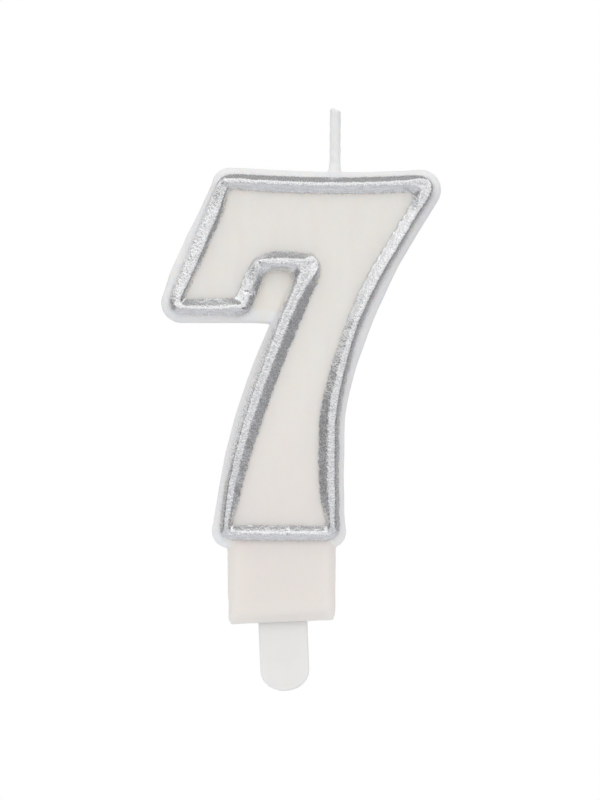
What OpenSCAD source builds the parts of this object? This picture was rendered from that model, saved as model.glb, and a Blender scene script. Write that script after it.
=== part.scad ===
// Number birthday candle: a wax 7 with a foiled rim, a braided wick and a plastic pick.
// Millimetres. X is across the number, Z is up it, and -Y is its front.
// The origin is the middle of the foot's cut face, where the pick leaves the wax
// and where the candle meets the top of a cake.

/* [Numeral] */
// Width of the number between the middles of its rim
number_w = 45.2; // [40:0.1:50]
// Height of the number between the middles of its rim
number_h = 61.3; // [56:0.1:66]
// Height of the lowest rim's middle above the foot's cut face
number_z = 15.6; // [14:0.1:18]
// Width of the raised rim
rim_w = 2.7; // [2.4:0.1:3.2]
// Height of the rim above the panel that it surrounds
rim_h = 0.9; // [0.7:0.1:1.3]

/* [Wax] */
// Thickness of the back plate, which reaches past the number on every side
plate_t = 5.5; // [4.8:0.1:6]
// Depth of the wax from its flat back to the number's panel
panel_t = 7; // [6.8:0.1:8]
// Reach of the back plate past the rim
flange_w = 1.25; // [0.9:0.05:1.6]
// Spread of the number's side walls, from the rim down to the back plate
draft_w = 0.7; // [0.3:0.1:0.8]

/* [Foot] */
// Width of the foot at the back plate
foot_w = 18.8; // [17:0.1:20]
// Depth of the foot from its flat back to its front
foot_t = 6.6; // [6.4:0.1:7]
// Inset of the foot's front from its sides
foot_side = 1.1; // [0.5:0.1:1.4]
// Height of the foot's front above its cut face
foot_step = 1.6; // [1:0.1:2.4]
// Tilt of the foot's cut face and of the pick, in degrees
cut_tilt = 2.3; // [0:0.1:4]

/* [Foil] */
// Thickness of the silver foil
foil_t = 0.15; // [0.1:0.05:0.2]

/* [Pick] */
// Width of the pick's blade
pick_w = 8.6; // [7:0.1:10]
// Thickness of the pick's blade
pick_t = 1.6; // [1.2:0.1:2]
// Length of the blade below the wax
pick_out = 12.2; // [10:0.1:20]
// Length of the blade's rounded end
pick_end = 3.6; // [3:0.1:4.3]
// Length of the blade inside the wax
pick_in = 18; // [14:0.5:20]
// Diameter of the holes that wax fills to lock the pick
key_d = 3; // [2:0.1:4]

/* [Wick] */
// Place of the wick to the right of the foot's middle
wick_x = 9.1; // [7:0.1:10]
// Diameter of the wick's wax coat
wick_d = 1.95; // [1.8:0.05:2.2]
// Height of the wick above the wax
wick_out = 11.2; // [8:0.2:14]
// Depth of the braid's end inside the top of its wax coat
wick_tip = 0.6; // [0:0.1:1]
// Length of the wick inside the wax
wick_in = 38; // [20:1:40]
// Length over which the braid repeats
braid_pitch = 5; // [4:0.5:8]

/* [Hidden] */
$fn = 48;
overlap = 0.5; // how far solids that are joined reach into each other

// The middle of the rim, clockwise from the top left, as shares of number_w and number_h.
// The third value is a corner's radius in millimetres, and 0 is a point on a curved side.
RIM = [
    [0.203, 1.000, 0.8],  // top left corner
    [0.400, 0.992, 0],
    [0.600, 0.988, 0],
    [0.800, 0.990, 0],
    [0.996, 0.997, 1.6],  // top right corner
    [0.832, 0.803, 0],
    [0.744, 0.690, 0],
    [0.684, 0.576, 0],
    [0.636, 0.462, 0],
    [0.602, 0.349, 0],
    [0.592, 0.235, 0],
    [0.597, 0.122, 0],
    [0.610, 0.000, 0.4],  // bottom right corner
    [0.202, 0.002, 0.4],  // bottom left corner
    [0.226, 0.122, 0],
    [0.261, 0.235, 0],
    [0.308, 0.349, 0],
    [0.364, 0.462, 0],
    [0.426, 0.576, 0],
    [0.474, 0.662, 0],
    [0.540, 0.772, 0.8],  // inner corner over the stem
    [0.332, 0.772, 0.6],  // inner corner over the hook
    [0.267, 0.642, 0.6],  // right corner of the hook
    [0.000, 0.642, 0.8]   // left corner of the hook
];
CURVE_STEPS = 4;   // pieces of a curved side between two points
CORNER_STEPS = 5;  // pieces of a corner's arc

back_y = foot_t / 2;                 // the flat back, with the pick in the middle of the foot
left_x = -19;                        // the number's left side, so that its stem stands on the foot
plate_reach = rim_w / 2 + flange_w;  // from the rim's middle to the back plate's edge
rim_steps = 5;
wall_steps = 3;
foot_z = number_z - rim_w / 2;       // the foot's top edge, under the lowest rim
below_cut = 1;                       // reach of the foot's blank below its cut face
web_from = [0.2, 0.642];             // the wax inside the hook: its lowest left and
web_to = [0.5, 0.762];               // highest right corner, as shares of the number
wick_z = number_z + 0.988 * number_h + plate_reach;  // where the wick leaves the wax
bore_d = 1.6;                        // the wick's way through the wax
key_places = [0.35, 0.75];           // the middles of the pick's holes, as shares of pick_in
braid_a = 0.5;    // sideways reach of a strand's middle
braid_b = 0.3;    // reach of a strand's middle towards front and back
strand_d = 0.5;
strand_sides = 8;
rings_per_pitch = 12;

function place(p) = [left_x + p[0] * number_w, number_z + p[1] * number_h];
function knot(i) = RIM[(i + len(RIM)) % len(RIM)];
function is_corner(i) = knot(i)[2] > 0;

// A cubic curve through b and c, with a and d giving its direction at its ends.
function curve(a, b, c, d, t) =
    0.5 * (2 * b + (c - a) * t + (2 * a - 5 * b + 4 * c - d) * t * t
        + (3 * b - a - 3 * c + d) * t * t * t);

// The points from knot i up to knot i + 1, with corners left sharp.
function side(i) =
    let (b = place(knot(i)), c = place(knot(i + 1)),
         a = is_corner(i) ? 2 * b - c : place(knot(i - 1)),
         d = is_corner(i + 1) ? 2 * c - b : place(knot(i + 2)),
         straight = is_corner(i) && is_corner(i + 1))
    [for (k = [0 : (straight ? 0 : CURVE_STEPS - 1)])
        concat(curve(a, b, c, d, k / CURVE_STEPS), k == 0 ? knot(i)[2] : 0)];

// The points of an arc of radius r that rounds the corner b between a and c.
function arc(a, b, c, r) =
    let (u = (a - b) / norm(a - b), v = (c - b) / norm(c - b),
         half = acos(u * v) / 2,
         reach = min(r / tan(half), 0.9 * norm(a - b), 0.9 * norm(c - b)),
         centre = b + (u + v) / norm(u + v) * reach / cos(half),
         from = b + u * reach - centre,
         turn = 180 - 2 * half,
         way = u[0] * v[1] - u[1] * v[0] > 0 ? -1 : 1)
    [for (k = [0 : CORNER_STEPS])
        let (g = way * turn * k / CORNER_STEPS)
        centre + [from[0] * cos(g) - from[1] * sin(g), from[0] * sin(g) + from[1] * cos(g)]];

SHARP = [for (i = [0 : len(RIM) - 1]) each side(i)];
RIM_LINE = [for (i = [0 : len(SHARP) - 1])
    let (p = SHARP[i],
         a = SHARP[(i + len(SHARP) - 1) % len(SHARP)],
         c = SHARP[(i + 1) % len(SHARP)])
    each p[2] > 0 ? arc([a[0], a[1]], [p[0], p[1]], [c[0], c[1]], p[2]) : [[p[0], p[1]]]];

// The number's shape out to a distance past the middle of its rim, or inside it if negative.
module number_shape(reach) {
    offset(r = reach, $fn = 32) polygon(RIM_LINE);
}

module rim_shape(half_w) {
    difference() {
        number_shape(half_w);
        number_shape(-half_w);
    }
}

// Extrudes a shape drawn in X and Z between two depths, both counted forwards from the back.
module slab(from, to) {
    translate([0, back_y - from, 0])
        rotate([90, 0, 0])
            linear_extrude(to - from)
                children();
}

// A rounded rim as a stack of ever narrower rings.
module rim_stack(grow) {
    for (k = [1 : rim_steps]) {
        share = (k - 1) / rim_steps;
        slab(panel_t - overlap, panel_t + rim_h * sin(90 * k / rim_steps) + grow)
            rim_shape(rim_w / 2 * sqrt(1 - share * share) - foil_t + grow);
    }
}

// The foot at a share of the way from the back plate to the foot's front.
module foot_shape(share) {
    inset = share * foot_side;
    low = share * (foot_step + below_cut) - below_cut;
    translate([inset - foot_w / 2, low])
        square([foot_w - 2 * inset, foot_z + overlap - low]);
}

// The wax that fills the number's inner corner, between the hook and the stem.
module web_shape() {
    low = place(web_from) - [0, plate_reach];
    translate(low)
        square(place(web_to) - low);
}

module body_blank() {
    slab(0, plate_t) {
        number_shape(plate_reach);
        web_shape();
        foot_shape(0);
    }
    // side walls that lean in towards the rim
    for (k = [1 : wall_steps])
        slab(plate_t - overlap, plate_t + (panel_t - plate_t) * k / wall_steps)
            number_shape(rim_w / 2 + draft_w * (1 - k / wall_steps));
    for (k = [1 : wall_steps])
        slab(plate_t - overlap, plate_t + (foot_t - plate_t) * k / wall_steps)
            foot_shape(k / wall_steps);
    rim_stack(0);
}

module blade_shape() {
    difference() {
        polygon(concat(
            [[pick_w / 2, pick_in], [-pick_w / 2, pick_in]],
            [for (g = [180 : 15 : 360])
                [pick_w / 2 * cos(g), pick_end * (1 + sin(g)) - pick_out]]));
        for (share = key_places)
            translate([0, pick_in * share])
                circle(d = key_d);
    }
}

module blade() {
    rotate([0, -cut_tilt, 0])
        translate([0, pick_t / 2, 0])
            rotate([90, 0, 0])
                linear_extrude(pick_t)
                    blade_shape();
}

module wax_body() {
    color("ivory")
        difference() {
            body_blank();
            // the foot's cut face
            rotate([0, -cut_tilt, 0])
                translate([-foot_w, -foot_w, -2 * below_cut])
                    cube([2 * foot_w, 2 * foot_w, 2 * below_cut]);
            blade();
            translate([wick_x, 0, wick_z - wick_in])
                cylinder(d = bore_d, h = wick_in + 1);
        }
}

module silver_foil() {
    color("silver")
        difference() {
            rim_stack(foil_t);
            slab(0, panel_t)
                number_shape(2 * plate_reach);
            rim_stack(0);
        }
}

// The middle of a strand, for a phase of 0, 120 or 240 degrees.
function strand_middle(z, phase) =
    let (turn = 360 * z / braid_pitch + phase)
    [wick_x + braid_a * sin(turn), braid_b * sin(2 * turn)];

module strand(phase) {
    from = wick_z - wick_in;
    length = wick_in + wick_out - wick_tip;
    rings = ceil(length / braid_pitch * rings_per_pitch);
    points = [for (i = [0 : rings])
        let (z = from + length * i / rings, middle = strand_middle(z, phase))
        for (k = [0 : strand_sides - 1])
            let (g = 360 * k / strand_sides)
            [middle[0] + strand_d / 2 * cos(g), middle[1] + strand_d / 2 * sin(g), z]];
    sides = [for (i = [0 : rings - 1], k = [0 : strand_sides - 1])
        let (next = (k + 1) % strand_sides, low = i * strand_sides, high = low + strand_sides)
        each [[low + k, high + k, high + next], [low + k, high + next, low + next]]];
    bottom = [for (k = [0 : strand_sides - 1]) k];
    top = [for (k = [strand_sides - 1 : -1 : 0]) rings * strand_sides + k];
    color("white")
        polyhedron(points, concat([bottom, top], sides));
}

module wick_wax_coat() {
    edge_r = 0.3; // the rounded upper edge
    flare = 0.4;  // how far the coat spreads where it meets the wax
    color("whitesmoke")
        translate([wick_x, 0, wick_z])
            rotate_extrude()
                polygon(concat(
                    [[bore_d / 2, 0], [wick_d / 2 + flare, 0]],
                    [for (g = [75 : -15 : 0])
                        [wick_d / 2 + flare * (1 - cos(g)), flare * (1 - sin(g))]],
                    [[wick_d / 2, wick_out - edge_r]],
                    [for (g = [30 : 30 : 60])
                        [wick_d / 2 - edge_r * (1 - cos(g)), wick_out - edge_r * (1 - sin(g))]],
                    [[bore_d / 2, wick_out]]));
}

module pick() {
    color("snow")
        blade();
}

wax_body();
silver_foil();
strand(0);  // wick_strand_1
strand(120);  // wick_strand_2
strand(240);  // wick_strand_3
wick_wax_coat();
pick();
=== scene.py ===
"""Number birthday candle: the visible pieces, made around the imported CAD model.

Mesh code works in millimetres and turns to metres when a mesh is made. X runs across the
number and Z up it. Depth is counted forwards from the candle's flat back.
"""

import math
from collections import namedtuple

import bpy
import numpy as np
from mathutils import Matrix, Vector, noise

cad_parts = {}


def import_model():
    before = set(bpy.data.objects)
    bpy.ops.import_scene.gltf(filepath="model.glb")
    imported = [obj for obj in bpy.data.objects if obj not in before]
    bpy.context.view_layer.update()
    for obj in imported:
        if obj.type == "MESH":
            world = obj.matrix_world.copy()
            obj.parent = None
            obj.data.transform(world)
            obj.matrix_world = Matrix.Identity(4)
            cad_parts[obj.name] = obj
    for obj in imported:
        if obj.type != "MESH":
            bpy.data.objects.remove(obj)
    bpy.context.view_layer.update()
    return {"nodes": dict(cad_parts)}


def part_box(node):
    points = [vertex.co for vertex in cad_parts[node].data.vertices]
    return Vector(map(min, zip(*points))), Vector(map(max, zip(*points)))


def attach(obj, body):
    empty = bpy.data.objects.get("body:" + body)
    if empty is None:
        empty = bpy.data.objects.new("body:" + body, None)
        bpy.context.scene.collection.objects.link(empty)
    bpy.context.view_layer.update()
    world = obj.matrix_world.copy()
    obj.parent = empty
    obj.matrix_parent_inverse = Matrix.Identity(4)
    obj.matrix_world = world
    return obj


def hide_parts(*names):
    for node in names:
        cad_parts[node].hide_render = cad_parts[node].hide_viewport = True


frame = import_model()

MM = 0.001

# ---------------------------------------------------------------- sizes, in millimetres
BACK_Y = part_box("wax_body")[1].y / MM
PANEL = BACK_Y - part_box("silver_foil")[1].y / MM      # depth of the number's panel
CREST = BACK_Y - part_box("silver_foil")[0].y / MM      # depth of the foil's highest line
PLATE = 5.5                                           # depth of the back plate
PLATE_ROUND = 0.7                                     # rounding of its front edge
BACK_ROUND = 0.45                                     # rounding of its back edge
BACK_SINK = 0.12                                      # how far its back sank as the wax cooled
FOOT = 6.5                                            # depth of the foot's front
FOOT_MIDDLE = -0.2                                    # place of the foot's front along X
FOOT_HALF = 8.25                                      # half the width of the foot's front
FOOT_SPREAD = 1.0                                     # lean of the foot's side walls
FOOT_STEP = 1.6                                       # height of the foot's front above its cut face
FOOT_SLOPE = 0.05                                     # rise of the front's lower edge across the foot
FOOT_TOP = 15.5                                       # height of the front's upper end, under the rim
FOIL_DEEP = 0.4                                       # thickness of the foil's mesh, mostly in the wax
FOIL_SINK = 0.09                                      # how much lower the wax lies under the foil
FOIL_SCALLOP = 0.24                                   # size of the scallops along its inner edge
WAX_STEP = 0.28                                       # mesh sizes
FOIL_STEP = 0.17
PICK_STEP = 0.25


# ---------------------------------------------------------------- outlines of CAD nodes
def flat_edges(node, depth, facing):
    """The edges around a node's flat faces at a depth that face +Y or -Y: from each point, to which."""
    mesh = frame["nodes"][node].data
    spots = np.array([v.co for v in mesh.vertices]) / MM
    at_depth = np.abs(BACK_Y - spots[:, 1] - depth) < 0.01
    keys = [tuple(k) for k in np.round(spots[:, [0, 2]], 3)]
    follows = {}
    for face in mesh.polygons:
        if not all(at_depth[v] for v in face.vertices) or face.normal.y * facing < 0.9:
            continue
        ring = [keys[v] for v in face.vertices]
        for a, b in zip(ring, ring[1:] + ring[:1]):
            if a == b:
                continue
            if a in follows.get(b, ()):
                follows[b].remove(a)
            else:
                follows.setdefault(a, []).append(b)
    return follows


def outlines(node, depth, facing):
    """Those edges as closed loops, longest first."""
    follows = flat_edges(node, depth, facing)
    loops = []
    while any(follows.values()):
        first = spot = next(a for a in follows if follows[a])
        loop = []
        while follows.get(spot):
            loop.append(spot)
            spot = follows[spot].pop()
            if spot == first:
                break
        loops.append(np.array(loop))
    return sorted((loop for loop in loops if perimeter(loop) > 1), key=perimeter, reverse=True)


def perimeter(loop):
    """Length of a closed outline."""
    return np.linalg.norm(loop - np.roll(loop, 1, 0), axis=1).sum()


def signed_distance(x, z, loop):
    """Distance to a closed outline, negative inside it, and how far along it the nearest point is."""
    best = np.full(x.shape, 1e9)
    along = np.zeros(x.shape)
    inside = np.zeros(x.shape, bool)
    start = 0.0
    for a, b in zip(loop, np.roll(loop, -1, 0)):
        step = b - a
        length = math.hypot(*step)
        share = np.clip(((x - a[0]) * step[0] + (z - a[1]) * step[1]) / length**2, 0, 1)
        gap = np.hypot(x - a[0] - share * step[0], z - a[1] - share * step[1])
        nearer = gap < best
        best = np.where(nearer, gap, best)
        along = np.where(nearer, start + share * length, along)
        if a[1] != b[1]:
            level = (a[1] > z) != (b[1] > z)
            inside ^= level & (x < a[0] + (z - a[1]) / step[1] * step[0])
        start += length
    return np.where(inside, -best, best), along


RIM_EDGES = outlines("silver_foil", PANEL, 1)
RIM_HALF = np.abs(signed_distance(*RIM_EDGES[-1].T, RIM_EDGES[0])[0]).min() / 2
PLATE_EDGE = outlines("wax_body", 0, 1)[0]
PICK_DEPTH = BACK_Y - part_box("pick")[0].y / MM
PICK_HALF = (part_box("pick")[1].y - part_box("pick")[0].y) / MM / 2
PICK_EDGES = outlines("pick", PICK_DEPTH, -1)


# ---------------------------------------------------------------- solids as distance fields
def smooth_min(a, b, blend):
    """The smaller of two fields, rounded where they cross."""
    h = np.maximum(blend - np.abs(a - b), 0) / blend
    return np.minimum(a, b) - h * h * blend / 4


def smooth_max(a, b, blend):
    return -smooth_min(-a, -b, blend)


def ramp(value, low, high):
    """0 below low, 1 above high, and smooth between them. low may be the larger."""
    t = np.clip((value - low) / (high - low), 0, 1)
    return t * t * (3 - 2 * t)


def bumps(x, z, size, seed):
    """Smooth noise between -1 and 1 over a plane, with features of a size in millimetres."""
    flat = zip(x.ravel() / size, z.ravel() / size)
    return np.array([noise.noise((a, b, seed)) for a, b in flat]).reshape(x.shape)


def cell_vertices(field):
    """A vertex in each cell that the zero surface crosses, in cells, and each cell's vertex number."""
    cells = tuple(n - 1 for n in field.shape)
    total = np.zeros((*cells, 3))
    count = np.zeros(cells)
    for axis in range(3):
        others = [k for k in range(3) if k != axis]
        for corner in ((0, 0), (0, 1), (1, 0), (1, 1)):
            offset = np.zeros(3, int)
            offset[others] = corner
            near = field[tuple(slice(o, o + n) for o, n in zip(offset, cells))]
            offset[axis] = 1
            far = field[tuple(slice(o, o + n) for o, n in zip(offset, cells))]
            crossed = (near < 0) != (far < 0)
            spot = np.zeros((np.count_nonzero(crossed), 3)) + offset
            spot[:, axis] = near[crossed] / (near[crossed] - far[crossed])
            total[crossed] += spot
            count[crossed] += 1
    used = count > 0
    names = np.full(cells, -1)
    names[used] = np.arange(np.count_nonzero(used))
    return np.argwhere(used) + total[used] / count[used][:, None], names


def surface_nets(field, low, step):
    """The zero surface of a sampled field, as vertices and quads."""
    spots, names = cell_vertices(field)
    quads = []
    for axis in range(3):
        b, c = (axis + 1) % 3, (axis + 2) % 3
        near = np.moveaxis(field, (axis, b, c), (0, 1, 2))
        ids = np.moveaxis(names, (axis, b, c), (0, 1, 2))
        low_in = near[:-1, 1:-1, 1:-1] < 0
        crossed = low_in != (near[1:, 1:-1, 1:-1] < 0)
        ring = [ids[:, :-1, :-1], ids[:, 1:, :-1], ids[:, 1:, 1:], ids[:, :-1, 1:]]
        quad = np.stack([r[crossed] for r in ring], axis=1)
        quad[~low_in[crossed]] = quad[~low_in[crossed]][:, ::-1]
        quads.append(quad)
    return spots * step + low, np.concatenate(quads)


def grid(low, high, step):
    """Sample places along X, Z and depth around a box."""
    return [np.arange(a - 2 * step, b + 3 * step, step) for a, b in zip(low, high)]


def make_piece(name, vertices, faces, material):
    """A smooth mesh piece from points in millimetres, as X, Z and depth."""
    places = np.column_stack([vertices[:, 0], BACK_Y - vertices[:, 2], vertices[:, 1]]) * MM
    mesh = bpy.data.meshes.new(name)
    mesh.from_pydata(places.tolist(), [], [tuple(face) for face in faces])
    mesh.shade_smooth()
    mesh.materials.append(material)
    piece = bpy.data.objects.new(name, mesh)
    bpy.context.scene.collection.objects.link(piece)
    return piece


def store_rim(piece, site, depth):
    """Keeps for the materials where each vertex lies.

    rim: along the rim, outwards from its line, and off the foil's edge. The second attribute: how widely
    the grey by the foil spreads, specks of silver and, on the wall where the foil stops short, painted
    shade too. border: distance to the back plate's outline, negative inside it. The back counts as far
    from the foil and the outline, and the foot as far from the outline.
    """
    behind = ramp(depth, PLATE - 0.3, PLATE - 2.0)
    off_foil = site.foil_edge() + 5 * behind
    layer = piece.data.attributes.new("rim", "FLOAT_VECTOR", "POINT")
    layer.data.foreach_set("vector", np.column_stack([site.along, site.rim, off_foil]).ravel())
    dust_and_shade = np.where(site.rim > 0, 0.7 + 3.3 * site.bare, 0.3)
    layer = piece.data.attributes.new("dust_and_shade", "FLOAT", "POINT")
    layer.data.foreach_set("value", dust_and_shade)
    border = signed_distance(site.x, site.z, PLATE_EDGE)[0] - 3 * ramp(site.z, 15.0, 12.0) - 3 * behind
    layer = piece.data.attributes.new("border", "FLOAT", "POINT")
    layer.data.foreach_set("value", border)


# ---------------------------------------------------------------- the rim, as it came out of the mould
# A cross-section of the rim at a place on its line, with distances outwards from the line:
# its inner and outer foot, the middle and half the width of its crest, how far the foil stops
# short of the outer foot, how far the wall below spreads, the back plate's extra reach, and the
# crest's height as a share of RIM_RISE.
Section = namedtuple("Section", "x z inner outer crest flat bare wall plate rise",
                     defaults=(0, 0.5, 0, 1))

RIM_RISE = 1.0                                        # height of the crest above the panel
CREST_ROUND = 0.38                                    # radius of the crest's edges
GROOVE_DEPTH = 0.06                                   # the fine groove along a wide crest
GROOVE_WIDTH = 0.16
TOP = [
    Section(-9.5, 76.8, -1.3, 1.3, 0.0, 0.3, wall=0.2),
    Section(-5.0, 76.6, -1.5, 1.35, 0.0, 0.2, wall=0.2),
    Section(17.0, 76.3, -1.55, 1.35, -0.05, 0.2, wall=0.2, plate=-0.2),
    Section(21.5, 76.4, -1.6, 1.35, 0.0, 0.3, wall=0.2, plate=-0.2),
    Section(25.0, 76.6, -2.2, 1.35, -0.2, 0.9, wall=0.2, plate=-0.2),
]
RIGHT = [
    Section(25.4, 75.6, -2.0, 1.35, 0.0, 0.9, wall=0.2),
    Section(22.5, 71.2, -1.1, 1.3, 0.65, 0.1, wall=0.2, rise=0.9),
    Section(18.6, 64.8, -1.1, 1.5, 0.8, 0.1, wall=0.2, plate=0.1),
    Section(14.6, 57.9, -1.1, 1.65, 0.85, 0.15, wall=0.3, plate=0.6),
    Section(11.9, 50.9, -1.3, 1.45, 0.4, 0.25, wall=0.3, plate=0.4),
    Section(9.8, 43.9, -1.5, 1.65, 0.5, 0.4, wall=0.3, plate=0.2),
    Section(8.2, 37.0, -1.6, 1.8, 0.65, 0.45, wall=0.3, plate=0.2),
    Section(7.8, 30.0, -1.6, 2.0, 0.8, 0.4, wall=0.3, plate=0.4),
    Section(8.0, 23.0, -1.6, 1.75, 0.6, 0.45, wall=0.3, plate=0.1),
    Section(8.5, 17.0, -0.9, 1.4, 0.2, 0.3, wall=0.4, plate=-0.25),
]
BOTTOM = [
    Section(8.0, 15.6, -1.2, 1.35, 0.1, 0.3, rise=0.7, plate=0.2),
    Section(5.0, 15.6, -1.3, 1.35, 0.12, 0.1, rise=0.75, plate=0.2),
    Section(-6.0, 15.7, -1.3, 1.35, 0.12, 0.1, rise=0.75, plate=0.2),
    Section(-9.2, 15.7, -1.2, 1.35, 0.1, 0.3, rise=0.7, plate=0.3),
]
STEM_LEFT = [
    Section(-9.7, 17.0, -0.9, 1.25, 0.1, 0.25, plate=-0.2, rise=0.9),
    Section(-8.8, 23.0, -1.6, 1.4, 0.2, 0.4, plate=-0.2, rise=0.9),
    Section(-7.2, 30.0, -1.9, 1.75, 0.25, 0.45, bare=0.7, wall=0.6),
    Section(-5.1, 37.0, -2.05, 1.95, 0.3, 0.5, bare=0.8, wall=0.5, plate=0.2),
    Section(-2.5, 43.9, -2.05, 1.95, 0.35, 0.55, bare=0.7, wall=0.5, plate=0.3),
    Section(0.3, 50.9, -2.05, 2.0, 0.45, 0.55, bare=0.5, wall=0.3, plate=0.2),
    Section(2.4, 56.2, -2.1, 1.9, 0.4, 0.6, bare=0.3, wall=0.2),
    Section(4.6, 60.6, -2.1, 1.8, 0.0, 0.9, wall=0.2),
    Section(5.7, 62.7, -1.85, 1.8, -0.3, 1.3, wall=0.2, rise=0.8),
]
NOTCH_TOP = [
    Section(5.6, 63.3, -1.85, 1.8, -0.3, 1.3, wall=0.2, rise=0.8),
    Section(3.6, 62.95, -1.4, 1.8, 0.3, 0.4, wall=0.2),
    Section(0.5, 62.9, -1.7, 1.55, 0.15, 0.3, wall=0.2, rise=1.05),
    Section(-2.4, 62.9, -1.65, 1.55, 0.15, 0.3, wall=0.2, rise=1.05),
    Section(-3.8, 62.9, -1.0, 1.6, 0.0, 0.3, wall=0.2),
]
NOTCH_LEG = [
    Section(-4.1, 62.5, -1.3, 1.6, 0.0, 0.4, wall=0.2, rise=0.8),
    Section(-5.4, 59.0, -1.7, 1.6, 0.2, 0.05, wall=0.2, rise=0.55),
    Section(-6.7, 55.5, -1.7, 1.6, 0.2, 0.05, wall=0.2, rise=0.55),
]
HOOK_BOTTOM = [
    Section(-7.4, 54.95, -1.6, 1.6, 0.1, 0.3, wall=0.2),
    Section(-11.0, 54.95, -1.5, 1.35, 0.35, 0.0, wall=0.2, rise=0.95),
    Section(-15.0, 54.95, -1.4, 1.25, 0.35, 0.0, wall=0.2, rise=0.95),
    Section(-18.2, 54.95, -1.3, 1.3, 0.1, 0.3, wall=0.3),
]
HOOK_LEFT = [
    Section(-18.6, 56.0, -1.0, 1.35, -0.3, 0.2, bare=0.1, wall=0.3, plate=0.1, rise=0.8),
    Section(-17.0, 59.7, -1.3, 1.4, -0.6, 0.1, bare=0.2, wall=0.3, plate=0.4, rise=0.65),
    Section(-14.5, 65.7, -1.6, 1.4, -0.65, 0.1, bare=0.2, wall=0.3, plate=0.2, rise=0.65),
    Section(-12.0, 71.7, -1.6, 1.4, -0.65, 0.1, bare=0.2, wall=0.3, plate=-0.2, rise=0.65),
    Section(-10.3, 75.7, -1.2, 1.4, -0.3, 0.3, bare=0.1, wall=0.3, plate=-0.4, rise=0.8),
]
RIM_SIDES = [TOP, RIGHT, BOTTOM, STEM_LEFT, NOTCH_TOP, NOTCH_LEG, HOOK_BOTTOM, HOOK_LEFT]

# small creases in the rim: at the top right inner corner, on the hook's inner leg and at the bottom
CREASES = [((21.1, 75.6), (22.9, 74.5)), ((-6.6, 57.6), (-4.9, 57.3)), ((0.9, 16.3), (1.0, 14.9))]
CREASE_DEPTH = 0.2
CREASE_WIDTH = 0.14
CREST_WANDER = 0.14                                   # how far the crest strays from its place


def side_section(x, z, side):
    """A side's cross-section at the places nearest to some points, and how near those are."""
    best = np.full(x.shape, 1e9)
    values = np.zeros((len(Section._fields) - 2, *x.shape))
    for a, b in zip(np.array(side[:-1]), np.array(side[1:])):
        step = b[:2] - a[:2]
        share = np.clip(((x - a[0]) * step[0] + (z - a[1]) * step[1]) / (step @ step), 0, 1)
        gap = (x - a[0] - share * step[0]) ** 2 + (z - a[1] - share * step[1]) ** 2
        nearer = gap < best
        best = np.where(nearer, gap, best)
        ease = ramp(share, 0, 1)
        for k, (low, high) in enumerate(zip(a[2:], b[2:])):
            values[k] = np.where(nearer, low + ease * (high - low), values[k])
    return values, best


def rim_section(x, z):
    """The rim's cross-section near some points: all sides, each weighted by how near it is."""
    total = 0
    weights = 0
    for side in RIM_SIDES:
        values, gap = side_section(x, z, side)
        weight = 1 / (gap + 0.15) ** 2
        total = total + weight * values
        weights = weights + weight
    return total / weights


def soften(values, count):
    """Blurs a grid with three passes of a running mean over a number of samples."""
    kernel = np.ones(count) / count
    for axis in (0, 1):
        for _ in range(3):
            padded = np.apply_along_axis(np.pad, axis, values, count // 2, mode="edge")
            values = np.apply_along_axis(np.convolve, axis, padded, kernel, mode="valid")
    return values


def read_grid(values, low, step, x, z):
    """A grid's values between its samples."""
    a, b = (x - low[0]) / step, (z - low[1]) / step
    i = np.clip(a.astype(int), 0, values.shape[0] - 2)
    k = np.clip(b.astype(int), 0, values.shape[1] - 2)
    a, b = a - i, b - k
    near = values[i, k] * (1 - a) + values[i + 1, k] * a
    far = values[i, k + 1] * (1 - a) + values[i + 1, k + 1] * a
    return near * (1 - b) + far * b


def rim_map(step=0.15, margin=1.5):
    """Distance from the rim's line on a grid. Corners come out round, and rounder outside the rim."""
    lo, hi = (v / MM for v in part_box("wax_body"))
    xs = np.arange(lo.x - margin, hi.x + margin, step)
    zs = np.arange(lo.z - margin, hi.z + margin, step)
    x, z = np.meshgrid(xs, zs, indexing="ij")
    distance = signed_distance(x, z, RIM_EDGES[0])[0] + RIM_HALF
    near, far = soften(distance, 5), soften(distance, 13)
    return near + ramp(near, 0.3, 1.4) * (far - near), (xs[0], zs[0]), step


RIM_MAP = rim_map()


class Site:
    """Places on the candle's face and where they lie by the rim."""

    def __init__(self, x, z):
        self.x, self.z = x, z
        self.along = signed_distance(x, z, RIM_EDGES[0])[1]
        self.rim = read_grid(*RIM_MAP, x, z)
        section = rim_section(x, z)
        self.inner, self.outer, crest, flat, self.bare, self.wall, self.plate, self.rise = section
        crest = crest + CREST_WANDER * bumps(self.along, 0 * self.along, 2.2, 4.0)
        self.middle, self.flat = self.rim - crest, flat
        self.off = np.sign(self.middle) * np.maximum(np.abs(self.middle) - flat, 0)
        self.width = np.where(self.middle > 0, self.outer - crest, crest - self.inner) - flat

    def foil_edge(self):
        """How far outside the foil a place is, negative on the foil."""
        return np.maximum(self.inner - self.rim - 0.05, self.rim - self.outer - 0.05 + self.bare)


def bead_distance(site, depth):
    """Distance above the raised rim, a ridge with a flat crest, rounded edges and straight flanks."""
    away = np.hypot(site.off, CREST_ROUND)
    rise = site.rise * RIM_RISE / (np.hypot(site.width, CREST_ROUND) - CREST_ROUND)
    groove = GROOVE_DEPTH * np.exp(-(((site.middle + 0.15) / GROOVE_WIDTH) ** 2))
    height = site.rise * RIM_RISE - rise * (away - CREST_ROUND) - groove * ramp(site.flat, 0.35, 0.5)
    return (depth - PANEL - height) / np.hypot(1, rise * site.off / away)


def creases(x, z):
    """How much lower the surface is in the small creases."""
    gaps = [np.abs(signed_distance(x, z, np.array(ends))[0]) for ends in CREASES]
    return CREASE_DEPTH * sum(np.exp(-((gap / CREASE_WIDTH) ** 2)) for gap in gaps)


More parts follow.
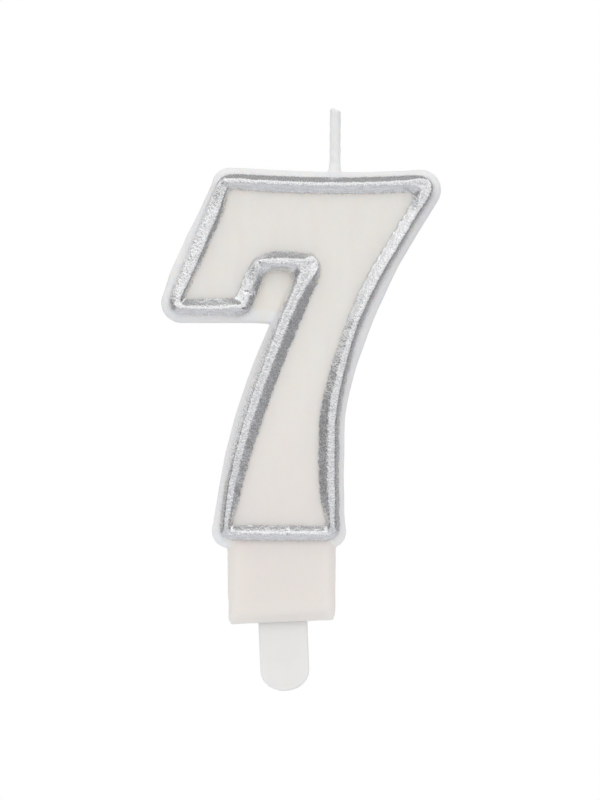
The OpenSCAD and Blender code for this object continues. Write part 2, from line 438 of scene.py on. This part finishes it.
# ---------------------------------------------------------------- the wax
def foot_outline(x, z, edge):
    """The back plate's outline, with the foot as it was trimmed by hand."""
    right_side = np.minimum(x - 9.05, 13.3 - z)
    right_corner = np.minimum(x - 8.85, 2.1 - z)
    left_corner = np.minimum(-9.05 - x + 0.12 * (z - 1.5), 4.2 - z)
    edge = smooth_max(edge, right_corner, 0.3)
    edge = smooth_max(edge, right_side, 0.3)
    edge = smooth_max(edge, left_corner, 0.6)
    return edge + ramp(z, 14, 10) * 0.06 * bumps(x, z, 1.7, 3.0)


def wax_field(site, depth, edge):
    """Signed distance to the candle's wax. edge is the 2D distance to the back plate's outline."""
    x, z = site.x, site.z
    plate = smooth_max(edge - site.plate, depth - PLATE, PLATE_ROUND)
    wall = site.rim - site.outer + 0.1 - site.wall * np.clip((PANEL - depth) / (PANEL - PLATE), 0, 1)
    block = smooth_max(wall, depth - PANEL, 0.3)
    bead = smooth_max(bead_distance(site, depth), wall - 0.1, 0.3)
    spread = FOOT_SPREAD * np.clip((FOOT - depth) / (FOOT - PLATE), 0, 1)
    sides = smooth_max(np.abs(x - FOOT_MIDDLE) - FOOT_HALF, FOOT_STEP + FOOT_SLOPE * x - z, 0.7)
    foot = smooth_max(smooth_max(sides - spread, z - FOOT_TOP, 0.2), depth - FOOT, 0.8)
    whole = smooth_min(block, bead, 0.1)
    whole = smooth_min(whole, foot, 0.4)
    whole = smooth_min(whole, plate, 0.5)
    sunk = BACK_SINK * ramp(edge, -1.0, -3.5) * (1 + 0.5 * bumps(x, z, 9.0, 1.0))
    return smooth_max(whole, sunk - depth, BACK_ROUND)


def wax_body(material):
    """The panel, the rim under the foil, the back plate and the foot, as one casting."""
    lo, hi = (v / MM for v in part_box("wax_body"))
    xs, zs, depths = grid((lo.x, lo.z, 0), (hi.x, hi.z, CREST), WAX_STEP)
    x, z = np.meshgrid(xs, zs, indexing="ij")
    site = Site(x, z)
    edge = foot_outline(x, z, signed_distance(x, z, PLATE_EDGE)[0])
    # the wax lies a little lower where the foil covers it
    wave = 0.03 * bumps(x, z, 6.0, 2.0) - FOIL_SINK * ramp(site.foil_edge(), 0, -0.4) - creases(x, z)
    field = np.stack([wax_field(site, d - wave, edge) for d in depths], axis=2)
    vertices, quads = surface_nets(field, (xs[0], zs[0], depths[0]), WAX_STEP)
    piece = make_piece("candle_wax", vertices, quads, material)
    store_rim(piece, Site(vertices[:, 0], vertices[:, 1]), vertices[:, 2])
    return piece


# ---------------------------------------------------------------- the silver foil
def silver_foil(material):
    """The foil on the rim: the wax's own surface between two ragged edges, with fine wrinkles."""
    lo, hi = (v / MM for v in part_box("silver_foil"))
    xs, zs, depths = grid((lo.x, lo.z, PANEL - 1.0), (hi.x, hi.z, CREST), FOIL_STEP)
    x, z = np.meshgrid(xs, zs, indexing="ij")
    site = Site(x, z)
    near = np.abs(site.rim) < 3.5
    along, out = site.along[near], site.rim[near]
    wrinkle = np.zeros(x.shape)
    wrinkle[near] = 0.015 * bumps(along, out, 0.5, 7.0) + 0.03 * bumps(along, out, 1.6, 8.0)
    wrinkle -= creases(x, z)
    ragged = np.zeros(x.shape)
    ragged[near] = 0.2 * bumps(along, out / 4.0, 1.1, 5.0) + 0.12 * bumps(along, out / 4.0, 0.4, 6.0)
    # the foil tore off in scallops along the panel
    scallops = np.abs(np.sin(site.along * 1.9 + 2 * ragged)) - 0.6
    ragged += FOIL_SCALLOP * ramp(site.rim, -0.4, -0.9) * scallops
    cut = site.foil_edge() + ragged
    inside = np.full(x.shape, -9.0)                   # the back plate's outline is far away
    shell = []
    for d in depths:
        wax = wax_field(site, d - wrinkle, inside)
        shell.append(np.maximum(np.maximum(wax, -FOIL_DEEP - wax), cut))
    field = np.stack(shell, axis=2)
    vertices, quads = surface_nets(field, (xs[0], zs[0], depths[0]), FOIL_STEP)
    piece = make_piece("rim_foil", vertices, quads, material)
    store_rim(piece, Site(vertices[:, 0], vertices[:, 1]), vertices[:, 2])
    return piece


# ---------------------------------------------------------------- the pick
def plastic_pick(material):
    """The pick with rounded edges and its two holes, in the outline of its CAD solid."""
    lo, hi = (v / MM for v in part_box("pick"))
    middle = PICK_DEPTH - PICK_HALF
    low, high = (lo.x, lo.z, middle - PICK_HALF), (hi.x, hi.z, middle + PICK_HALF)
    xs, zs, depths = grid(low, high, PICK_STEP)
    x, z = np.meshgrid(xs, zs, indexing="ij")
    flat = signed_distance(x, z, PICK_EDGES[0])[0]
    for hole in PICK_EDGES[1:]:
        flat = np.maximum(flat, -signed_distance(x, z, hole)[0])
    field = np.stack([smooth_max(flat, np.abs(d - middle) - PICK_HALF, 0.5) for d in depths], axis=2)
    vertices, quads = surface_nets(field, (xs[0], zs[0], depths[0]), PICK_STEP)
    return make_piece("cake_pick", vertices, quads, material)


# ---------------------------------------------------------------- the wick
COAT_RADIUS = 0.955
COAT_ROOT = 0.6                                       # how far the coat goes into the wax
COAT_FLARE = 0.42                                     # reach and height of the wax drawn up its foot
COAT_CUT = 0.22                                       # half the drop of its slanting top
COAT_LEAN = 0.1                                       # how far its top leans to the right
PLAIT_HEIGHT = 0.028                                  # how far the plait stands out of the coat
PLAIT_PITCH = 2.5
END_SHARE = 0.965                                     # the coat closes over the rest of its length


def tube_faces(sides, rings):
    """The faces of a closed tube of rings."""
    faces = [tuple(range(sides)), tuple(reversed(range((rings - 1) * sides, rings * sides)))]
    for i in range(rings - 1):
        for k in range(sides):
            a, b = i * sides + k, i * sides + (k + 1) % sides
            faces.append((a, a + sides, b + sides, b))
    return faces


def wick_coat(material):
    """The wick's wax coat, a tube of rings with the plait showing faintly through."""
    lo, hi = (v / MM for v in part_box("wick_wax_coat"))
    base = lo.z - COAT_ROOT
    centre_x, centre_depth = (lo.x + hi.x) / 2, BACK_Y - (lo.y + hi.y) / 2
    sides, rings = 32, 90
    turn = np.linspace(0, 2 * math.pi, sides, endpoint=False)
    vertices = []
    for i in range(rings):
        share = i / (rings - 1)
        cut = COAT_CUT * (np.cos(turn) + 1) * share**6
        height = base + (hi.z - base) * share - cut
        plait = PLAIT_HEIGHT * np.cos(2 * turn - 2 * math.pi * height / PLAIT_PITCH)
        rough = 0.03 * bumps(turn * 0.9, height, 0.7, 9.0)
        flare = COAT_FLARE * np.exp(-np.maximum(height - lo.z, 0) / COAT_FLARE) * (1 - 0.35 * np.cos(turn))
        shut = math.sqrt(max(1 - ramp(share, END_SHARE, 1.0) ** 2, 0.0)) * 0.45 + 0.55
        radius = (COAT_RADIUS + plait + rough) * shut + flare
        across = centre_x + COAT_LEAN * share + radius * np.cos(turn)
        vertices += zip(across, height, centre_depth + radius * np.sin(turn))
    return make_piece("wick_coat", np.array(vertices), tube_faces(sides, rings), material)


# ---------------------------------------------------------------- materials
class Tree:
    """Short ways to build one material's nodes."""

    def __init__(self, name):
        self.material = bpy.data.materials.new(name)
        self.material.use_nodes = True
        self.nodes = self.material.node_tree.nodes
        self.links = self.material.node_tree.links
        self.shader = self.nodes["Principled BSDF"]

    def add(self, kind, inputs=None, **settings):
        node = self.nodes.new("ShaderNode" + kind)
        for key, value in settings.items():
            setattr(node, key, value)
        for key, value in (inputs or {}).items():
            self.put(node.inputs[key], value)
        return node

    def put(self, socket, value):
        if isinstance(value, bpy.types.NodeSocket):
            self.links.new(value, socket)
        else:
            socket.default_value = value

    def set(self, **values):
        for key, value in values.items():
            self.put(self.shader.inputs[key.replace("_", " ")], value)

    def attribute(self, name):
        return self.add("Attribute", attribute_name=name).outputs

    def split(self, vector):
        return self.add("SeparateXYZ", {0: vector}).outputs

    def position(self):
        """The place on the object along X, Y and Z, in metres."""
        return self.split(self.add("TexCoord").outputs["Object"])

    def places(self, scale=(1, 1, 1)):
        """Object coordinates in millimetres, times a scale for each axis."""
        coords = self.add("TexCoord").outputs["Object"]
        return self.add("Mapping", {"Vector": coords, "Scale": [s / MM for s in scale]}).outputs[0]

    def noise(self, vector, scale, detail=2.0, rough=0.5):
        inputs = {"Vector": vector, "Scale": scale, "Detail": detail, "Roughness": rough}
        return self.add("TexNoise", inputs).outputs["Fac"]

    def ramp(self, value, low, high, to_low=0.0, to_high=1.0):
        inputs = {"Value": value, "From Min": low, "From Max": high, "To Min": to_low, "To Max": to_high}
        return self.add("MapRange", inputs, interpolation_type="SMOOTHSTEP").outputs[0]

    def mix(self, factor, a, b):
        node = self.add("Mix", data_type="RGBA")
        self.put(node.inputs[0], factor)
        self.put(node.inputs[6], a)
        self.put(node.inputs[7], b)
        return node.outputs[2]

    def math(self, operation, a, b=0.0):
        node = self.add("Math", operation=operation)
        self.put(node.inputs[0], a)
        self.put(node.inputs[1], b)
        return node.outputs[0]

    def bump(self, height, distance, normal=None):
        inputs = {"Height": height, "Distance": distance * MM, "Strength": 1.0}
        if normal is not None:
            inputs["Normal"] = normal
        return self.add("Bump", inputs).outputs[0]

    def rim(self):
        """Along the rim, outwards from its line, and off the foil's edge, in millimetres."""
        return self.split(self.attribute("rim")["Vector"])


def wax_material():
    t = Tree("paraffin_wax")
    _, across, off_foil = t.rim()
    streaks = t.noise(t.places((1, 1, 0.2)), 0.6, 3.0)
    mottle = t.noise(t.places(), 2.2, 4.0)
    cream = t.mix(t.ramp(streaks, 0.3, 0.7), (0.922, 0.885, 0.833, 1), (0.937, 0.905, 0.856, 1))
    # painted shade: the wax is made darker towards the bottom of the number and the foot
    cream = t.mix(t.ramp(t.position()[2], 50 * MM, 4 * MM), cream, (0.868, 0.828, 0.787, 1))
    # painted light: the thin border of the back plate is made cooler and lighter, for the light that
    # shines through its thin wax
    painted_edge_light = t.mix(t.ramp(mottle, 0.3, 0.7), (0.93, 0.93, 0.915, 1), (0.96, 0.96, 0.95, 1))
    border = t.math("MULTIPLY", t.ramp(across, 0.5, 1.6), t.ramp(across, 4.0, 2.6))
    border = t.math("MULTIPLY", border, t.ramp(t.attribute("border")["Fac"], -2.6, -1.6))
    tint = t.mix(border, cream, painted_edge_light)
    # specks of silver lie near the foil, with a smooth grey where they spread widest; on the wall below
    # the foil that grey is also painted shade
    specks = t.ramp(t.noise(t.places(), 3.6, 1.0), 0.48, 0.62)
    dust_and_shade_reach = t.attribute("dust_and_shade")["Fac"]
    near = t.ramp(t.math("DIVIDE", off_foil, dust_and_shade_reach), 0.45, 0.0)
    specks = t.math("MULTIPLY", specks, t.ramp(dust_and_shade_reach, 1.2, 3.0, 0.5, 0.9))
    share = t.math("ADD", specks, t.ramp(dust_and_shade_reach, 1.2, 3.0, 0.0, 0.15))
    dust_and_shade = t.math("MULTIPLY", near, share)
    t.set(Base_Color=t.mix(dust_and_shade, tint, (0.50, 0.50, 0.52, 1)))
    t.set(Roughness=t.ramp(mottle, 0.2, 0.8, 0.42, 0.58))
    t.set(Subsurface_Weight=0.8, Subsurface_Radius=(1.0, 0.85, 0.7), Subsurface_Scale=3.5 * MM)
    t.set(IOR=1.44)
    t.set(Normal=t.bump(mottle, 0.02, t.bump(streaks, 0.04)))
    return t.material


def foil_material():
    t = Tree("silver_foil")
    along, across, _ = t.rim()
    strip = t.add("CombineXYZ", {0: along, 1: t.math("MULTIPLY", across, 0.4), 2: 3.0}).outputs[0]
    wrinkles = t.noise(t.places(), 1.6, 2.0, 0.6)
    streaks = t.noise(strip, 3.0, 1.0)
    grain = t.noise(t.places(), 3.2, 1.0)
    shade = t.math("ADD", t.math("MULTIPLY", grain, 0.65), t.math("MULTIPLY", streaks, 0.35))
    scuffed = t.mix(t.ramp(shade, 0.38, 0.62), (0.60, 0.601, 0.605, 1), (0.80, 0.803, 0.815, 1))
    # the foil is smoother, with long streaks, on the slopes that face up and down the number
    facing = t.split(t.add("NewGeometry").outputs["Normal"])[2]
    level = t.ramp(t.math("ABSOLUTE", facing), 0.15, 0.3)
    long_strip = t.add("CombineXYZ", {0: t.math("MULTIPLY", along, 0.25), 1: across, 2: 5.0}).outputs[0]
    brushed = t.ramp(t.noise(long_strip, 3.0, 2.0, 0.6), 0.35, 0.65)
    smooth = t.mix(brushed, (0.645, 0.646, 0.65, 1), (0.765, 0.768, 0.78, 1))
    t.set(Metallic=1.0)
    t.set(Base_Color=t.mix(level, scuffed, smooth))
    t.set(Roughness=t.ramp(grain, 0.25, 0.75, 0.20, 0.30))
    # it sparkles most along the crest, and least on the slopes that face down
    aside = t.math("ABSOLUTE", t.math("SUBTRACT", across, 0.3))
    sparkle = t.math("MULTIPLY", grain, t.ramp(aside, 0.5, 1.0, 1.4, 0.7))
    sparkle = t.math("MULTIPLY", sparkle, t.ramp(facing, -0.3, -0.1, 0.4, 1.0))
    t.set(Normal=t.bump(sparkle, 0.03, t.bump(wrinkles, 0.05)))
    return t.material


def wick_wax_material():
    t = Tree("wick_wax")
    lines = t.noise(t.places((1, 1, 0.2)), 3.0, 3.0)
    t.set(Base_Color=t.mix(lines, (0.95, 0.95, 0.94, 1), (0.985, 0.985, 0.98, 1)))
    t.set(Roughness=0.4, IOR=1.44, Sheen_Weight=0.4)
    t.set(Subsurface_Weight=0.6, Subsurface_Radius=(1.0, 0.85, 0.7), Subsurface_Scale=0.4 * MM)
    t.set(Normal=t.bump(lines, 0.04))
    return t.material


def cotton_material():
    t = Tree("wick_cotton")
    fibres = t.noise(t.places((1, 1, 0.25)), 9.0, 3.0)
    t.set(Base_Color=t.mix(fibres, (0.76, 0.74, 0.70, 1), (0.90, 0.89, 0.87, 1)))
    t.set(Roughness=0.85, Sheen_Weight=0.3)
    t.set(Normal=t.bump(fibres, 0.05))
    return t.material


def pick_material():
    t = Tree("milky_plastic")
    cloud = t.noise(t.places(), 0.35, 2.0)
    t.set(Base_Color=t.mix(cloud, (0.83, 0.82, 0.795, 1), (0.87, 0.86, 0.84, 1)))
    t.set(Roughness=0.32, IOR=1.49)
    t.set(Subsurface_Weight=0.7, Subsurface_Radius=(1.0, 0.95, 0.9), Subsurface_Scale=1.5 * MM)
    t.set(Normal=t.bump(t.noise(t.places((1, 1, 0.3)), 1.2, 2.0), 0.01))
    return t.material


# ---------------------------------------------------------------- stage
WHITE = (1, 1, 1, 1)
FLOOR_GAP = 0.0005                                    # space below the pick's tip, in metres
FLOOR_RADIUS = 1.6
FLOOR_RINGS = 24
FLOOR_SIDES = 64
SENSOR = 36.0                                         # the camera's, in millimetres, as is LENS
LENS = 120.0
VIEW_HEIGHT = 0.1391                                  # what the picture's height takes in, in metres
VIEW_CENTRE = (0.0030, -0.0037, 0.0388)               # the middle of the view, on the candle's front


def floor_material():
    """Pale grey for the light it sends up, and as white as the backdrop where it is seen directly."""
    t = Tree("floor")
    x, y, _ = t.position()
    ahead = t.ramp(t.math("ABSOLUTE", y), 0.3, 0.9, 0.46, 0.0)
    strip = t.math("MULTIPLY", ahead, t.ramp(t.math("ABSOLUTE", x), 0.11, 0.06))
    glow = t.math("MAXIMUM", strip, t.ramp(y, 0.0, 0.1, 0.0, 0.13))
    t.set(Base_Color=(0.42, 0.42, 0.43, 1), Roughness=0.9)
    t.set(Emission_Color=(0.93, 0.95, 1, 1), Emission_Strength=glow)
    white = t.add("Emission", {"Color": WHITE, "Strength": 1.0}).outputs[0]
    seen = t.add("LightPath").outputs["Is Camera Ray"]
    both = t.add("MixShader", {0: seen, 1: t.shader.outputs[0], 2: white}).outputs[0]
    t.links.new(both, t.nodes["Material Output"].inputs["Surface"])
    return t.material


def floor():
    """A plain pale floor, a wide disc just below the pick's tip."""
    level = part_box("pick")[0].z - FLOOR_GAP
    points = [(0.0, 0.0, level)]
    for i in range(1, FLOOR_RINGS + 1):
        reach = FLOOR_RADIUS * (i / FLOOR_RINGS) ** 2
        for k in range(FLOOR_SIDES):
            turn = 2 * math.pi * k / FLOOR_SIDES
            points.append((reach * math.cos(turn), reach * math.sin(turn), level))
    faces = [(0, 1 + k, 1 + (k + 1) % FLOOR_SIDES) for k in range(FLOOR_SIDES)]
    for i in range(FLOOR_RINGS - 1):
        for k in range(FLOOR_SIDES):
            a = 1 + i * FLOOR_SIDES + k
            b = 1 + i * FLOOR_SIDES + (k + 1) % FLOOR_SIDES
            faces.append((a, a + FLOOR_SIDES, b + FLOOR_SIDES, b))
    mesh = bpy.data.meshes.new("floor")
    mesh.from_pydata(points, [], faces)
    mesh.materials.append(floor_material())
    disc = bpy.data.objects.new("floor", mesh)
    bpy.context.scene.collection.objects.link(disc)


def softbox(name, place, target, size, radiance):
    """A rectangular light aimed at a target, as bright to look at as radiance says."""
    lamp = bpy.data.lights.new(name, "AREA")
    lamp.shape = "RECTANGLE"
    lamp.size, lamp.size_y = size
    lamp.energy = radiance * math.pi * size[0] * size[1]
    holder = bpy.data.objects.new(name, lamp)
    holder.location = place
    aim = Vector(target) - Vector(place)
    holder.rotation_euler = aim.to_track_quat("-Z", "Y").to_euler()
    holder.visible_camera = False
    bpy.context.scene.collection.objects.link(holder)


def world():
    """A grey studio for the reflections, and a white backdrop wherever it is seen directly."""
    bpy.context.scene.world = bpy.data.worlds.new("studio")
    bpy.context.scene.world.use_nodes = True
    tree = bpy.context.scene.world.node_tree
    height = tree.nodes.new("ShaderNodeSeparateXYZ")
    tree.links.new(tree.nodes.new("ShaderNodeTexCoord").outputs["Generated"], height.inputs[0])
    grey = tree.nodes.new("ShaderNodeMapRange")
    tree.links.new(height.outputs["Z"], grey.inputs["Value"])
    for name, value in {"From Min": 0.3, "From Max": 0.9, "To Min": 0.33, "To Max": 0.48}.items():
        grey.inputs[name].default_value = value
    room = tree.nodes["Background"]
    room.inputs["Color"].default_value = WHITE
    tree.links.new(grey.outputs[0], room.inputs["Strength"])
    backdrop = tree.nodes.new("ShaderNodeBackground")
    backdrop.inputs["Color"].default_value = WHITE
    both = tree.nodes.new("ShaderNodeMixShader")
    seen = tree.nodes.new("ShaderNodeLightPath").outputs["Is Camera Ray"]
    tree.links.new(seen, both.inputs[0])
    tree.links.new(room.outputs[0], both.inputs[1])
    tree.links.new(backdrop.outputs[0], both.inputs[2])
    tree.links.new(both.outputs[0], tree.nodes["World Output"].inputs["Surface"])


def camera():
    """A long lens that looks level along +Y at the candle's front."""
    data = bpy.data.cameras.new("camera")
    data.lens = LENS
    data.clip_start = 0.01
    data.clip_end = 20.0
    holder = bpy.data.objects.new("camera", data)
    x, y, z = VIEW_CENTRE
    holder.location = (x, y - VIEW_HEIGHT * LENS / SENSOR, z)
    holder.rotation_euler = (math.pi / 2, 0, 0)
    bpy.context.scene.collection.objects.link(holder)
    bpy.context.scene.camera = holder


def studio():
    floor()
    world()
    softbox("left", (-0.325, -0.07, 0.35), (0, 0, 0.04), (0.52, 0.40), 0.66)
    softbox("low left", (-0.30, 0.18, 0.09), (0, 0, 0.05), (0.40, 0.20), 0.3)
    softbox("right", (0.325, -0.10, 0.335), (0, 0, 0.04), (0.50, 0.28), 0.85)
    softbox("low right", (0.30, 0.18, 0.09), (0, 0, 0.05), (0.40, 0.20), 0.15)
    softbox("front", (-0.05, -0.9, 0.3), (0, 0, 0.1), (1.7, 1.9), 0.80)
    softbox("back", (0.0, 0.9, 0.3), (0, 0, 0.04), (0.9, 0.6), 1.0)
    camera()
    bpy.context.scene.view_settings.view_transform = "Standard"


# ---------------------------------------------------------------- putting it together
def hand_over(piece, slot, *nodes):
    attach(piece, "root")
    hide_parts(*nodes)


studio()
hand_over(wax_body(wax_material()), "wax", "wax_body")
hand_over(silver_foil(foil_material()), "silver_foil", "silver_foil")
hand_over(plastic_pick(pick_material()), "pick_plastic", "pick")
hand_over(wick_coat(wick_wax_material()), "wick_wax", "wick_wax_coat")
cotton = cotton_material()
for strand in ("wick_strand_1", "wick_strand_2", "wick_strand_3"):
    frame["nodes"][strand].data.materials.clear()
    frame["nodes"][strand].data.materials.append(cotton)
